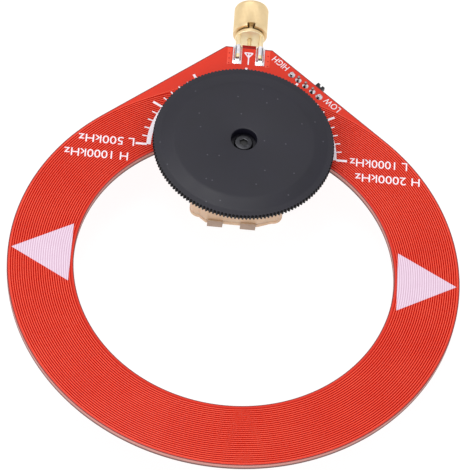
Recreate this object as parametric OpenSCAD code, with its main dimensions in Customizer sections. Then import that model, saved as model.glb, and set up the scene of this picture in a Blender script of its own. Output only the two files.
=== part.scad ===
// Radio loop antenna: a flat ring of circuit board with a printed winding, a
// tuning capacitor with a large knob, a band switch and a screw-on coaxial plug.
// Millimetres. The pieces are placed round the ring's centre, with z = 0 on the
// printed face, and then moved so that the origin is the end of the plug's nose.

/* [Board] */
// Outer diameter of the ring
ring_d = 100; // [92:1:120]
// Diameter of the hole in the ring
hole_d = 70.8; // [60:0.2:73]
// Thickness of the board
board_t = 1.6; // [1.2:0.1:2.4]
// How far the plug's edge of the board stands out past the ring
tip_reach = 11.2; // [10:0.1:16]
// Length of the straight edge that carries the plug
tip_w = 10.8; // [9:0.1:14]
// Diameter of the round lug that carries the capacitor
lug_d = 26; // [22:0.5:32]

/* [Winding] */
// Step from one turn of the winding to the next
turn_pitch = 0.555; // [0.55:0.005:1.2]
// Width of the printed track
track_w = 0.14; // [0.1:0.01:0.14]
// Height of the printed track
track_t = 0.1; // [0.05:0.01:0.2]
// Bare margin between the winding and the ring's edges
track_margin = 0.4; // [0.3:0.1:1.5]

/* [Tuning capacitor] */
// Distance of the tuning axis inside the edge of the ring's hole
tuner_inset = 4.1; // [4:0.1:6]
// Width of the square case
case_w = 21.2; // [20.4:0.1:26]
// Height of the case with its cover
case_h = 10.4; // [10:0.1:15]
// Radius of the case's upright corners
case_round = 2.2; // [1.4:0.1:3]
// Thickness of the case's side walls
case_wall = 1.2; // [0.8:0.1:1.4]
// Thickness of the case's front wall, against the board
front_t = 1.8; // [1.4:0.1:2.5]
// Thickness of the cover
cover_t = 1.2; // [1.1:0.1:2]
// Wall of the boss that centres the case in the board
boss_wall = 0.38; // [0.3:0.02:0.6]
// Height of that boss
boss_h = 1; // [0.6:0.1:1.1]
// Wall of the shaft's bush
bush_wall = 0.45; // [0.3:0.05:0.6]
// Diameter of the shaft in its bush
shaft_d = 6; // [5.6:0.1:6.2]
// Width across the two flats at the shaft's end
shaft_flat = 4.5; // [3.8:0.1:5]
// Diameter of the spindle that carries the rotor plates
spindle_d = 4; // [3.4:0.1:4.4]
// Diameter of the pivot at the spindle's end
pivot_d = 1.8; // [1.4:0.1:2]
// Outer diameter of the rotor's hub
rotor_hub_d = 5.6; // [5.2:0.1:5.8]
// Diameter of the rotor plates
rotor_d = 15.2; // [12:0.1:16]
// Thickness of a rotor or stator plate
plate_t = 0.4; // [0.3:0.05:0.5]
// Air gap between a rotor plate and a stator plate
plate_gap = 0.3; // [0.25:0.05:0.5]
// Diameter of a stator post
post_d = 1.2; // [1:0.1:1.4]
// Distance of a stator post inside the case's side wall
post_side = 2; // [1.8:0.1:2.2]
// Distance of a stator post inside the case's wall towards the plug
post_end = 2.4; // [2:0.1:2.6]
// How far the case's sill stands out at the front, where the tabs leave it
sill_out = 1.3; // [0.8:0.1:1.8]
// Length of the sill past the tabs on either side
sill_past = 0.4; // [0.2:0.1:0.8]
// Width of the two solder tabs
tab_w = 3.5; // [2.5:0.1:3.6]
// Thickness of the tabs and of their strips
tab_t = 0.4; // [0.3:0.05:0.5]
// How far the tabs reach below the cover
tab_drop = 0.7; // [0.5:0.1:3]
// Distance of the stator's tab inside the case's left side
stator_tab_in = 6; // [5.6:0.1:6.4]
// Distance of the rotor's tab inside the case's right side
rotor_tab_in = 7.7; // [5.6:0.1:8.6]
// Width of the strips inside the case
strip_w = 1.6; // [1.2:0.1:1.8]
// Distance between the two screws that hold the case
fix_spacing = 14; // [13.6:0.1:15]
// Height of those screws' heads
fix_head_h = 1.5; // [1:0.1:1.8]
// Place of each trimmer, sideways from the tuning axis
trimmer_x = 4.4; // [4:0.1:4.8]
// Place of each trimmer, towards the plug from the tuning axis
trimmer_y = 4; // [3:0.1:5]
// Diameter of a trimmer's half-round plate
trimmer_d = 5.6; // [4:0.1:6]
// Diameter of a trimmer's shank
trimmer_shank_d = 1.4; // [1:0.1:1.6]
// Diameter of a trimmer's head
trimmer_head_d = 2.6; // [2:0.1:3.2]
// Height of a trimmer's head
trimmer_head_h = 0.7; // [0.5:0.1:0.9]
// Width of the slot in a trimmer's head
trimmer_slot_w = 0.4; // [0.3:0.05:0.6]

/* [Knob] */
// Diameter of the knob over its rim
knob_d = 41; // [34:0.5:44]
// Gap between the board and the knob's rim
knob_gap = 2.9; // [2.6:0.1:4]
// Thickness of the knob's rim
rim_t = 1.5; // [1.2:0.1:2.5]
// Width of the flat band on top of the rim
rim_w = 1.5; // [1:0.1:3]
// Height of the knob's flat middle above its rim
crown_h = 0.8; // [0.4:0.1:1.5]
// Diameter of the knob's flat middle
crown_d = 32; // [20:0.5:32]
// Wall thickness of the knob
knob_wall = 1.2; // [1:0.1:1.4]
// Wall of the knob's hub round the shaft
hub_wall = 1.18; // [1:0.02:1.4]
// Gap between the board and the knob's hub
hub_gap = 0.5; // [0.3:0.1:0.8]
// Length of the shaft's flats inside the hub
flat_len = 1.9; // [1.4:0.1:2]
// Diameter of the recess in the knob's top
recess_d = 5.9; // [5:0.1:6]
// Thickness of the web between the recess and the shaft
web_t = 0.5; // [0.4:0.1:0.8]
// Diameter of the knob screw's head
knob_head_d = 4.3; // [3.8:0.1:4.6]
// Height of the knob screw's head
knob_head_h = 1.1; // [1:0.1:1.4]
// Width across flats of the knob screw's socket
socket_w = 1.8; // [1.3:0.1:2]
// Length of the knob screw below its head
knob_screw_len = 4; // [3:0.1:5]

/* [Screws] */
// Thread diameter of the knob's and the capacitor's screws
thread_d = 2.5; // [2:0.1:2.6]
// Head diameter of the capacitor's screws
fix_head_d = 4.4; // [4:0.1:4.6]

/* [Switch] */
// Distance along the edge from the board's corner to the switch
switch_along = 12.25; // [11:0.1:14]
// Distance of the switch's pins inside the edge
switch_inset = 1.87; // [1.6:0.01:2.2]
// Distance between the frame's two lugs
lug_spacing = 8.66; // [8.4:0.02:9.6]
// Distance from one switch pin to the next
pin_pitch = 2.2; // [1.9:0.05:2.4]
// Depth of the switch under the board
switch_h = 3.5; // [3.3:0.1:4.5]
// Width of the switch, square to the edge
switch_w = 4; // [3.7:0.1:5]
// Sheet thickness of the frame
sheet_t = 0.3; // [0.2:0.05:0.35]
// Thickness of the switch's base
base_t = 1; // [0.8:0.1:1.1]
// Width of a lug
lug_w = 0.9; // [0.7:0.05:1]
// Height of the pins above the board
pin_out = 1.4; // [0.9:0.1:1.8]
// Height of the lugs above the board
lug_out = 0.7; // [0.5:0.1:1]
// Height of the solder round a pin or lug
joint_h = 0.6; // [0.4:0.05:0.65]
// Width of a pin
pin_w = 0.5; // [0.4:0.05:0.6]
// Depth of a pin below the base
pin_under = 0.3; // [0.25:0.05:0.35]
// Thickness of the moving contact
contact_t = 0.2; // [0.15:0.05:0.25]
// Width of the slider's lever
lever_w = 2.1; // [1.4:0.1:2.4]
// Height of the lever's underside above the slider's
lever_lift = 0.3; // [0.1:0.05:0.5]
// How far the lever stands out past the edge
lever_out = 3.1; // [1.5:0.1:4]
// Width of the groove in the lever's tip
groove_w = 0.6; // [0.3:0.05:0.8]
// Travel of the slider
slider_travel = 2; // [1.5:0.1:2.2]

/* [Plug] */
// Gap between the board's edge and the plug's disc
plug_gap = 3; // [2:0.1:4]
// Diameter of the plug's disc
disc_d = 6.76; // [6.6:0.02:7]
// Thickness of the plug's disc
disc_t = 0.9; // [0.7:0.1:1.5]
// Length of the legs on the board
leg_reach = 3.55; // [2.5:0.05:4.5]
// Distance of the legs inside the disc's edge
leg_inset = 0.255; // [0.2:0.005:0.4]
// Width of a leg
leg_w = 0.95; // [0.7:0.05:1]
// Height of a leg
leg_h = 0.95; // [0.6:0.05:1.1]
// Length of a pad
pad_len = 4.9; // [4.6:0.1:5.5]
// Width of a pad
pad_w = 2.1; // [2:0.05:2.4]
// Thickness of a pad
pad_t = 0.1; // [0.05:0.05:0.2]
// Width of the solder beside a leg
fillet_w = 0.45; // [0.3:0.05:0.5]
// Diameter of the nose, which enters the jack
nose_d = 4.572; // [4.5:0.01:4.6]
// Length of the nose past the gasket
nose_len = 2; // [1.6:0.1:2.4]
// Wall of the nose round the insulator
nose_wall = 0.216; // [0.2:0.004:0.4]
// Step from the nose up to the gasket's seat
seat_step = 0.189; // [0.18:0.003:0.21]
// Width of the gasket, from its seat outwards
gasket_w = 0.355; // [0.25:0.005:0.4]
// Thickness of the gasket
gasket_t = 0.6; // [0.4:0.1:0.8]
// Step from the nut's thread up to the shoulder that the nut pulls on
shoulder_step = 0.15; // [0.1:0.01:0.2]
// Thickness of that shoulder
shoulder_t = 1.2; // [0.9:0.1:1.5]
// Step from the shoulder down to the plug's neck
neck_step = 0.6; // [0.5:0.05:0.7]
// Wall of the insulator's collar, which shows in the disc's rear face
collar_wall = 0.275; // [0.2:0.025:0.4]
// Thickness of the disc's wall round that collar
collar_t = 0.65; // [0.4:0.05:0.8]
// Diameter of the centre pin inside the insulator
core_d = 1.27; // [1.1:0.01:1.5]
// Diameter of the centre pin at its tip
tip_pin_d = 0.91; // [0.8:0.01:1]
// How far the centre pin stands out of the nose
tip_pin_len = 1.9; // [1.4:0.1:2.2]
// Diameter of the centre pin's tail
tail_d = 0.9; // [0.8:0.05:1]
// Diameter of the coupling nut
nut_d = 7.95; // [7.8:0.05:9]
// Length of the coupling nut
nut_len = 7.7; // [7.4:0.1:9]
// Bevel on the coupling nut's ends
nut_bevel = 0.4; // [0.2:0.05:0.45]
// Thickness of the nut's rear lip
nut_lip_t = 0.5; // [0.4:0.05:0.8]
// How far the snap ring reaches into the nut's groove
snap_bite = 0.35; // [0.2:0.05:0.4]
// Thickness of the snap ring
snap_t = 0.45; // [0.3:0.05:0.6]
// Width of the gap in the snap ring
snap_gap = 1; // [0.5:0.1:1.5]

/* [Clearances] */
// Radial clearance of a piece fixed in its hole
fix_clear = 0.02; // [0.01:0.005:0.04]
// Radial clearance of a piece that turns in its hole
run_clear = 0.05; // [0.02:0.01:0.08]
// Gap between pieces that move past each other
move_clear = 0.1; // [0.06:0.01:0.15]
// Clearance of a screw, pin or boss in the board
board_clear = 0.1; // [0.05:0.05:0.2]

/* [Hidden] */
$fn = 96;

// Turns and rings of the printed winding that stay within a light mesh
most_turns = 24;
turn_rings = 24;
track_sides = 6;
// Overlap that makes two shapes of one piece a single solid, or a cut clean
weld = 0.1;
// Distance that a cut runs past its piece
past = 1;
// Depth by which the board's straight edges cut into the ring's circle
edge_sink = 0.05;

// Places on the board
ring_r = ring_d / 2;
hole_r = hole_d / 2;
tip_y = ring_r + tip_reach;
tip_corner = [tip_w / 2, tip_y];
edge_r = ring_r - edge_sink;
edge_turn = atan2(tip_corner.y, tip_corner.x) - acos(edge_r / norm(tip_corner));
edge_out = [cos(edge_turn), sin(edge_turn)];
edge_along = [sin(edge_turn), -cos(edge_turn)];
switch_at = tip_corner + switch_along * edge_along - switch_inset * edge_out;
tuner_y = hole_r - tuner_inset;
fix_head_r = fix_head_d / 2;
bush_r = shaft_d / 2 + run_clear + bush_wall;
boss_r = bush_r + fix_clear + boss_wall;
board_hole_r = boss_r + board_clear;
fix_hole_r = thread_d / 2 + board_clear;
pin_hole_r = norm([pin_w, pin_w]) / 2 + board_clear;
lug_hole_r = norm([lug_w, sheet_t]) / 2 + board_clear;

// The winding's spiral, from its outer end inwards
track_out_r = ring_r - track_margin - track_w / 2;
track_in_r = (hole_r + track_margin + track_w / 2) / cos(180 / turn_rings);
turns = min(most_turns, floor((track_out_r - track_in_r) / turn_pitch));
track_steps = turns * turn_rings;
track_section = [
    [-track_w / 2, 0], [track_w / 2, 0], [track_w / 2, track_t / 2],
    [track_w / 4, track_t], [-track_w / 4, track_t], [-track_w / 2, track_t / 2],
];

// Heights of the capacitor, its shaft and its knob
case_top = -board_t;
case_back = case_top - case_h;
cover_top = case_back + cover_t;
cavity_top = case_top - front_t;
cavity_w = case_w - 2 * case_wall;
post_x = cavity_w / 2 - post_side;
post_y = cavity_w / 2 - post_end;
stator_tab_x = stator_tab_in - case_w / 2;
rotor_tab_x = case_w / 2 - rotor_tab_in;
strip_top = cover_top + tab_t;
spindle_top = cavity_top - move_clear;
spindle_end = strip_top + move_clear;
pivot_end = cover_top - cover_t / 2;
plate_step = 2 * (plate_t + plate_gap);
rotor_top = spindle_top - plate_t;
plate_count = floor((rotor_top - spindle_end) / plate_step);
flat_base = hub_gap + run_clear;
shaft_top = flat_base + flat_len;
recess_floor = shaft_top + fix_clear + web_t;
rim_top = knob_gap + rim_t;
knob_top = rim_top + crown_h;
flute_r = knob_d / 2 - rim_w;
hub_r = shaft_d / 2 + fix_clear + hub_wall;
knob_hole_depth = knob_screw_len + weld;

// Heights and widths of the switch
switch_back = switch_inset - switch_w;
switch_l = lug_spacing + sheet_t;
base_bottom = -board_t - base_t;
contact_top = base_bottom - pin_under - move_clear;
slider_top = contact_top - contact_t;
slider_bottom = -board_t - switch_h + sheet_t + move_clear;
slider_l = switch_l - 2 * sheet_t - slider_travel - 2 * move_clear;
slider_rest = slider_travel / 2;
lever_bottom = slider_bottom + lever_lift;
window_l = lever_w + slider_travel + 2 * move_clear;

// Stations along the plug, from its disc's rear face towards the jack
plug_axis_z = -board_t / 2;
plug_y = tip_y + plug_gap;
nut_z = disc_t + 3 * move_clear;
snap_z = nut_z + nut_lip_t;
shoulder_z = snap_z + snap_t + move_clear;
seat_z = shoulder_z + shoulder_t;
nose_z = seat_z + gasket_t;
nose_end = nose_z + nose_len;
pin_end = nose_end + tip_pin_len;
nut_end = nut_z + nut_len;
nut_thread_z = seat_z + 3 * move_clear;
nose_r = nose_d / 2;
insulator_r = nose_r - nose_wall - fix_clear;
collar_r = core_d / 2 + fix_clear + collar_wall;
seat_r = nose_r + seat_step;
gasket_r = seat_r + fix_clear + gasket_w;
nut_thread_r = gasket_r + move_clear;
shoulder_r = nut_thread_r + shoulder_step;
neck_r = shoulder_r - neck_step;
nut_rear_r = shoulder_r + run_clear;
snap_r = nut_rear_r + snap_bite;
leg_x = disc_d / 2 - leg_inset - leg_w / 2;
tail_r = tail_d / 2;
slot_h = board_t + 2 * pad_t;

// Point of the track's side at an offset from its middle, at one ring
function track_at(i, u) =
    let (a = 90 + 360 * i / turn_rings)
    (track_out_r - turn_pitch * i / turn_rings + u) * [cos(a), sin(a)];

// Middle of the track's side between one ring and the next
function track_mid(i, u) = (track_at(i, u) + track_at(i + 1, u)) / 2;

// Least gap between a turn and the next, measured where the turns lie closest
track_gap = min([
    for (i = [0:1:track_steps - turn_rings - 1])
        norm(track_mid(i, -track_w / 2) - track_mid(i + turn_rings, track_w / 2))
]);
echo(turns = turns, track_gap = track_gap);

// Moves a piece from the ring's centre to the part's own origin
module placed() {
    translate([0, -plug_y - nose_end, -plug_axis_z]) children();
}

// Moves a piece made round z = 0 to the tuning axis
module at_tuner() {
    translate([0, tuner_y, 0]) children();
}

// Moves a piece to the switch: x along the board's edge, y out past it
module at_switch() {
    translate([switch_at.x, switch_at.y, 0]) rotate([0, 0, edge_turn - 90]) children();
}

// Turns a piece made along z to lie along the plug
module along_plug() {
    translate([0, plug_y, plug_axis_z]) rotate([-90, 0, 0]) children();
}

// Limits of a length about its middle
function span(middle, length) = [middle - length / 2, middle + length / 2];

// Square with rounded corners, centred
module soft_square(w, r) {
    square([w, w - 2 * r], center = true);
    square([w - 2 * r, w], center = true);
    for (x = [-1, 1], y = [-1, 1]) translate([x, y] * (w / 2 - r)) circle(r);
}

// Box between two heights, with its x and y limits
module box(x, y, z) {
    translate([x[0], y[0], z[0]]) cube([x[1] - x[0], y[1] - y[0], z[1] - z[0]]);
}

// Round bar between two heights
module bar(r, z) {
    translate([0, 0, z[0]]) cylinder(r = r, h = z[1] - z[0]);
}

// Places of the switch's pins along the board's edge
module each_pin() {
    for (i = [-1:1]) translate([i * pin_pitch, 0, 0]) children();
}

// Places of the frame's lugs along the board's edge
module each_lug() {
    for (side = [-1, 1]) translate([side * lug_spacing / 2, 0, 0]) children();
}

// Places of the capacitor's two screws
module each_fix() {
    at_tuner() for (side = [-1, 1]) translate([side * fix_spacing / 2, 0, 0]) children();
}

module circuit_board() {
    through = [-board_t - past, past];
    color("firebrick") placed() difference() {
        union() {
            difference() {
                union() {
                    bar(ring_r, [-board_t, 0]);
                    translate([0, 0, -board_t]) linear_extrude(board_t) polygon([
                        tip_corner, edge_r * edge_out, [0, 0],
                        edge_r * [-edge_out.x, edge_out.y], [-tip_corner.x, tip_corner.y],
                    ]);
                }
                bar(hole_r, through);
            }
            at_tuner() bar(lug_d / 2, [-board_t, 0]);
        }
        at_tuner() bar(board_hole_r, through);
        each_fix() bar(fix_hole_r, through);
        at_switch() {
            each_pin() bar(pin_hole_r, through);
            each_lug() bar(lug_hole_r, through);
        }
    }
}

module loop_winding() {
    last = track_steps * track_sides;
    color("coral") placed() polyhedron(
        points = [
            for (i = [0:1:track_steps], s = track_section)
                let (p = track_at(i, s.x)) [p.x, p.y, s.y]
        ],
        faces = [
            for (i = [0:1:track_steps - 1], k = [0:1:track_sides - 1], half = [0, 1])
                let (
                    a = i * track_sides + k,
                    b = i * track_sides + (k + 1) % track_sides
                )
                half == 0 ? [a, b, b + track_sides] : [a, b + track_sides, a + track_sides],
            for (k = [1:1:track_sides - 2]) [0, k + 1, k],
            for (k = [1:1:track_sides - 2]) [last, last + k, last + k + 1],
        ]
    );
}

module plug_pads() {
    color("silver") placed() for (z = [0, -board_t - pad_t]) {
        for (side = [-1, 1]) translate([side * leg_x, 0, z])
            box(span(0, pad_w), [tip_y - pad_len, tip_y], [0, pad_t]);
    }
    color("silver") placed()
        box(span(0, 2 * tail_d), [tip_y - pad_len, tip_y], [-board_t - pad_t, -board_t]);
}

module plug_body() {
    bore_r = insulator_r + fix_clear;
    rear_r = collar_r + fix_clear;
    color("gold") placed() along_plug() {
        rotate_extrude() polygon([
            [rear_r, 0], [disc_d / 2, 0], [disc_d / 2, disc_t], [neck_r, disc_t],
            [neck_r, shoulder_z], [shoulder_r, shoulder_z], [shoulder_r, seat_z],
            [seat_r, seat_z], [seat_r, nose_z], [nose_r, nose_z],
            [nose_r, nose_end], [bore_r, nose_end], [bore_r, collar_t], [rear_r, collar_t],
        ]);
        intersection() {
            bar(disc_d / 2, [-plug_gap - leg_reach, disc_t / 2]);
            for (x = [0, 1], y = [0, 1]) mirror([x, 0, 0]) mirror([0, y, 0])
                box(
                    span(leg_x, leg_w), [slot_h / 2, slot_h / 2 + leg_h],
                    [-plug_gap - leg_reach - past, disc_t]
                );
        }
    }
}

module plug_insulator() {
    core_r = core_d / 2 + fix_clear;
    color("white") placed() along_plug() rotate_extrude() polygon([
        [core_r, 0], [collar_r, 0], [collar_r, collar_t], [insulator_r, collar_t],
        [insulator_r, nose_end], [core_r, nose_end],
    ]);
}

module plug_pin() {
    taper = tip_pin_d / 2;
    color("goldenrod") placed() along_plug() rotate_extrude() polygon([
        [0, -plug_gap], [tail_r, -plug_gap], [tail_r, 0], [core_d / 2, 0],
        [core_d / 2, nose_end], [tip_pin_d / 2, nose_end], [tip_pin_d / 2, pin_end - taper],
        [tip_pin_d / 4, pin_end], [0, pin_end],
    ]);
}

module plug_gasket() {
    color("orangered") placed() along_plug() rotate_extrude()
        translate([seat_r + fix_clear, seat_z]) square([gasket_w, gasket_t]);
}

// Solder in the corner between each side of a leg and its pad
module leg_solder() {
    color("lightgray") placed() along_plug()
        for (x = [0, 1], y = [0, 1], side = [-1, 1]) mirror([x, 0, 0]) mirror([0, y, 0])
            translate([leg_x + side * leg_w / 2, slot_h / 2, -plug_gap - leg_reach])
                linear_extrude(leg_reach) polygon([
                    [0, 0], [side * fillet_w, 0], [0, min(fillet_w, leg_side_h(side))],
                ]);
}

// Height of a leg's inner (-1) or outer (1) side, where the disc's round cuts it
function leg_side_h(side) =
    min(leg_h, sqrt(pow(disc_d / 2, 2) - pow(leg_x + side * leg_w / 2, 2)) - slot_h / 2);

module pin_solder() {
    under = -board_t - pad_t;
    color("lightgray") placed() difference() {
        translate([-tail_d, 0, 0]) rotate([90, 0, 90]) linear_extrude(2 * tail_d) polygon([
            [tip_y, plug_axis_z], [tip_y + tail_d, plug_axis_z], [tip_y, under - tail_r],
            [tip_y - 2 * tail_d, under], [tip_y, under],
        ]);
        along_plug() bar(tail_r + fix_clear, [-plug_gap - past, 0]);
    }
}

module coupling_nut() {
    color("gold") placed() along_plug() rotate_extrude() polygon([
        [nut_rear_r, nut_z], [nut_d / 2 - nut_bevel, nut_z], [nut_d / 2, nut_z + nut_bevel],
        [nut_d / 2, nut_end - nut_bevel], [nut_d / 2 - nut_bevel, nut_end],
        [nut_thread_r, nut_end], [nut_thread_r, nut_thread_z],
        [nut_rear_r, nut_thread_z], [nut_rear_r, snap_z + snap_t + fix_clear],
        [snap_r + fix_clear, snap_z + snap_t + fix_clear], [snap_r + fix_clear, snap_z],
        [nut_rear_r, snap_z],
    ]);
}

module snap_ring() {
    inner_r = neck_r + move_clear;
    color("dimgray") placed() along_plug() difference() {
        bar(snap_r, [snap_z, snap_z + snap_t]);
        bar(inner_r, [snap_z - past, snap_z + snap_t + past]);
        box(span(0, snap_gap), [-2 * snap_r, 0], [snap_z - past, snap_z + snap_t + past]);
    }
}

// The case's outline between two heights: a soft square, and the sill at its front
module case_block(z) {
    edge = -case_w / 2;
    reach = case_w / 2 - case_round;
    translate([0, 0, z[0]]) linear_extrude(z[1] - z[0]) soft_square(case_w, case_round);
    translate([0, 0, z[0]]) linear_extrude(z[1] - z[0]) polygon([
        [-reach, edge + weld], [stator_tab_x - tab_w / 2 - sill_past, edge - sill_out],
        [rotor_tab_x + tab_w / 2 + sill_past, edge - sill_out], [reach, edge + weld],
    ]);
}

module tuner_case() {
    color("tan") placed() at_tuner() difference() {
        union() {
            case_block([cover_top, case_top]);
            bar(boss_r, [case_top - weld, case_top + boss_h]);
        }
        translate([0, 0, cover_top - past]) linear_extrude(cavity_top - cover_top + past)
            soft_square(cavity_w, case_round - case_wall / 2);
        bar(bush_r + fix_clear, [cavity_top - past, case_top + boss_h + past]);
        for (side = [-1, 1]) translate([side * fix_spacing / 2, 0, 0])
            bar(thread_d / 2 + fix_clear, [cavity_top - past, case_top + past]);
        for (x = [stator_tab_x, rotor_tab_x]) box(
            span(x, tab_w + 2 * fix_clear), [-case_w / 2 - sill_out - past, -cavity_w / 2 + past],
            [cover_top - past, strip_top + fix_clear]
        );
    }
}

module tuner_cover() {
    color("wheat") placed() at_tuner() difference() {
        case_block([case_back, cover_top]);
        bar(pivot_d / 2 + run_clear, [pivot_end - move_clear, cover_top + past]);
        for (side = [-1, 1]) translate([side * trimmer_x, trimmer_y, 0])
            bar(trimmer_shank_d / 2 + run_clear, [case_back - past, cover_top + past]);
    }
}

module tuner_bush() {
    color("darkgoldenrod") placed() at_tuner() difference() {
        bar(bush_r, [cavity_top, case_top + boss_h + move_clear]);
        bar(shaft_d / 2 + run_clear, [cavity_top - past, case_top + boss_h + past]);
    }
}

module tuner_shaft() {
    color("goldenrod") placed() at_tuner() difference() {
        union() {
            bar(shaft_d / 2, [spindle_top, flat_base]);
            intersection() {
                bar(shaft_d / 2, [flat_base - weld, shaft_top]);
                box(span(0, 2 * shaft_d), span(0, shaft_flat), [-past, shaft_top]);
            }
            bar(spindle_d / 2, [spindle_end, spindle_top + weld]);
            bar(pivot_d / 2, [pivot_end, spindle_end + weld]);
        }
        bar(thread_d / 2 + fix_clear, [shaft_top - knob_hole_depth, shaft_top + past]);
    }
}

module rotor_plates() {
    color("silver") placed() at_tuner() difference() {
        union() {
            bar(rotor_hub_d / 2, [spindle_end, spindle_top]);
            for (i = [0:1:plate_count - 1]) intersection() {
                translate([0, 0, rotor_top - i * plate_step - plate_t])
                    cylinder(d = rotor_d, h = plate_t);
                box([0, rotor_d], span(0, 2 * rotor_d), [spindle_end - past, spindle_top + past]);
            }
        }
        bar(spindle_d / 2 + fix_clear, [spindle_end - past, spindle_top + past]);
    }
}

module stator_plates() {
    reach = post_d / 2 + plate_t;
    color("lightsteelblue") placed() at_tuner() {
        for (i = [0:1:plate_count - 1]) difference() {
            box(
                span(0, 2 * (post_x + reach)), [plate_gap, post_y + reach],
                span(rotor_top - (i + 0.5) * plate_step - plate_t / 2, plate_t)
            );
            bar(rotor_hub_d / 2 + 2 * plate_gap, [cover_top, cavity_top]);
        }
        translate([-post_x, post_y, 0]) bar(post_d / 2, [strip_top, cavity_top]);
        translate([post_x, post_y, 0]) bar(post_d / 2, [cover_top, cavity_top]);
    }
}

// Outside part of a solder tab, and its foot through the case's wall
module tab(x) {
    edge = -case_w / 2 - sill_out;
    box(span(x, tab_w), [edge - tab_t, edge], [case_back - tab_drop, strip_top]);
    box(span(x, tab_w), [edge - weld, -cavity_w / 2 + strip_w], [cover_top, strip_top]);
}

module stator_tab() {
    foot = -cavity_w / 2 + strip_w;
    color("peru") placed() at_tuner() {
        tab(stator_tab_x);
        box([-post_x - strip_w / 2, stator_tab_x], [foot - strip_w / 2, foot], [cover_top, strip_top]);
        box(
            span(-post_x, strip_w), [foot - strip_w / 2, post_y + strip_w / 2],
            [cover_top, strip_top]
        );
    }
}

module rotor_tab() {
    foot = -cavity_w / 2 + strip_w;
    color("peru") placed() at_tuner() difference() {
        union() {
            tab(rotor_tab_x);
            box([-strip_w / 2, rotor_tab_x], [foot - strip_w / 2, foot], [cover_top, strip_top]);
            box(span(0, strip_w), [foot - strip_w / 2, 0], [cover_top, strip_top]);
            bar(spindle_d / 2, [cover_top, strip_top]);
        }
        bar(pivot_d / 2 + move_clear, [cover_top - past, strip_top + past]);
    }
}

module tuner_screws() {
    color("dimgray") placed() each_fix() difference() {
        union() {
            bar(fix_head_r, [0, fix_head_h]);
            bar(thread_d / 2, [cavity_top + move_clear, weld]);
        }
        for (turn = [0, 90]) rotate([0, 0, turn]) box(
            span(0, thread_d), span(0, pin_w),
            [fix_head_h / 2, fix_head_h + past]
        );
    }
}

// A trimmer: slotted screw and half-round plate, which turn as one
module trimmer() {
    face = case_back - move_clear;
    head = face - plate_t - trimmer_head_h;
    difference() {
        union() {
            bar(trimmer_shank_d / 2, [head, cover_top]);
            bar(trimmer_head_d / 2, [head, face]);
            intersection() {
                bar(trimmer_d / 2, [face - plate_t, face]);
                box(span(0, 2 * trimmer_d), [0, trimmer_d], [head, face]);
            }
        }
        box(
            span(0, trimmer_head_d + past), span(0, trimmer_slot_w),
            [head - past, head + trimmer_head_h / 2]
        );
    }
}

module trimmer_left() {
    color("darkkhaki") placed() at_tuner() translate([-trimmer_x, trimmer_y, 0]) trimmer();
}

module trimmer_right() {
    color("darkkhaki") placed() at_tuner() translate([trimmer_x, trimmer_y, 0]) trimmer();
}

module tuning_knob() {
    skirt_r = knob_d / 2 - knob_wall;
    color("darkslategray") placed() at_tuner() difference() {
        rotate_extrude() polygon([
            [0, hub_gap], [hub_r, hub_gap], [hub_r, knob_top - knob_wall],
            [crown_d / 2, knob_top - knob_wall], [skirt_r, rim_top - knob_wall],
            [skirt_r, knob_gap], [knob_d / 2, knob_gap], [knob_d / 2, rim_top],
            [flute_r, rim_top], [crown_d / 2, knob_top], [recess_d / 2, knob_top],
            [recess_d / 2, recess_floor], [0, recess_floor],
        ]);
        intersection() {
            bar(shaft_d / 2 + fix_clear, [hub_gap - past, shaft_top + fix_clear]);
            box(
                span(0, 2 * shaft_d), span(0, shaft_flat + 2 * fix_clear),
                [hub_gap - past, shaft_top + fix_clear]
            );
        }
        bar(shaft_d / 2 + fix_clear, [hub_gap - past, flat_base + fix_clear]);
        bar(thread_d / 2 + board_clear, [shaft_top, recess_floor + past]);
    }
}

module knob_screw() {
    color("black") placed() at_tuner() difference() {
        union() {
            bar(knob_head_d / 2, [recess_floor, recess_floor + knob_head_h]);
            bar(thread_d / 2, [recess_floor - knob_screw_len, recess_floor + weld]);
        }
        translate([0, 0, recess_floor + knob_head_h / 2])
            linear_extrude(knob_head_h) circle(r = socket_w / sqrt(3), $fn = 6);
    }
}

module switch_frame() {
    bottom = -board_t - switch_h;
    color("silver") placed() at_switch() {
        difference() {
            box(span(0, switch_l), [switch_back, switch_inset], [bottom, -board_t]);
            box(
                span(0, switch_l - 2 * sheet_t),
                [switch_back + sheet_t, switch_inset - sheet_t],
                [bottom + sheet_t, -board_t + past]
            );
            box(
                span(0, window_l), [switch_inset - sheet_t - weld, switch_inset + past],
                [lever_bottom - move_clear, slider_top + move_clear]
            );
        }
        each_lug()
            box(span(0, sheet_t), span(0, lug_w), [-board_t - sheet_t, lug_out]);
    }
}

module switch_base() {
    color("saddlebrown") placed() at_switch() difference() {
        box(
            span(0, switch_l - 2 * (sheet_t + fix_clear)),
            [switch_back + sheet_t + fix_clear, switch_inset - sheet_t - fix_clear],
            [base_bottom, -board_t]
        );
        each_pin() box(
            span(0, pin_w + 2 * fix_clear), span(0, pin_w + 2 * fix_clear),
            [base_bottom - past, -board_t + past]
        );
    }
}

module switch_pins() {
    color("gainsboro") placed() at_switch() each_pin()
        box(span(0, pin_w), span(0, pin_w), [base_bottom - pin_under, pin_out]);
}

// Cone of solder round a pin or lug of the given half widths
module solder_cone(x, y, r) {
    difference() {
        cylinder(r1 = r, r2 = norm([x, y]) + fix_clear, h = joint_h);
        box(span(0, 2 * (x + fix_clear)), span(0, 2 * (y + fix_clear)), [-past, joint_h + past]);
    }
}

module switch_solder() {
    color("lightgray") placed() at_switch() {
        each_pin() solder_cone(pin_w / 2, pin_w / 2, pin_hole_r + fillet_w / 2);
        each_lug() solder_cone(sheet_t / 2, lug_w / 2, lug_hole_r + fillet_w);
    }
}

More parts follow.
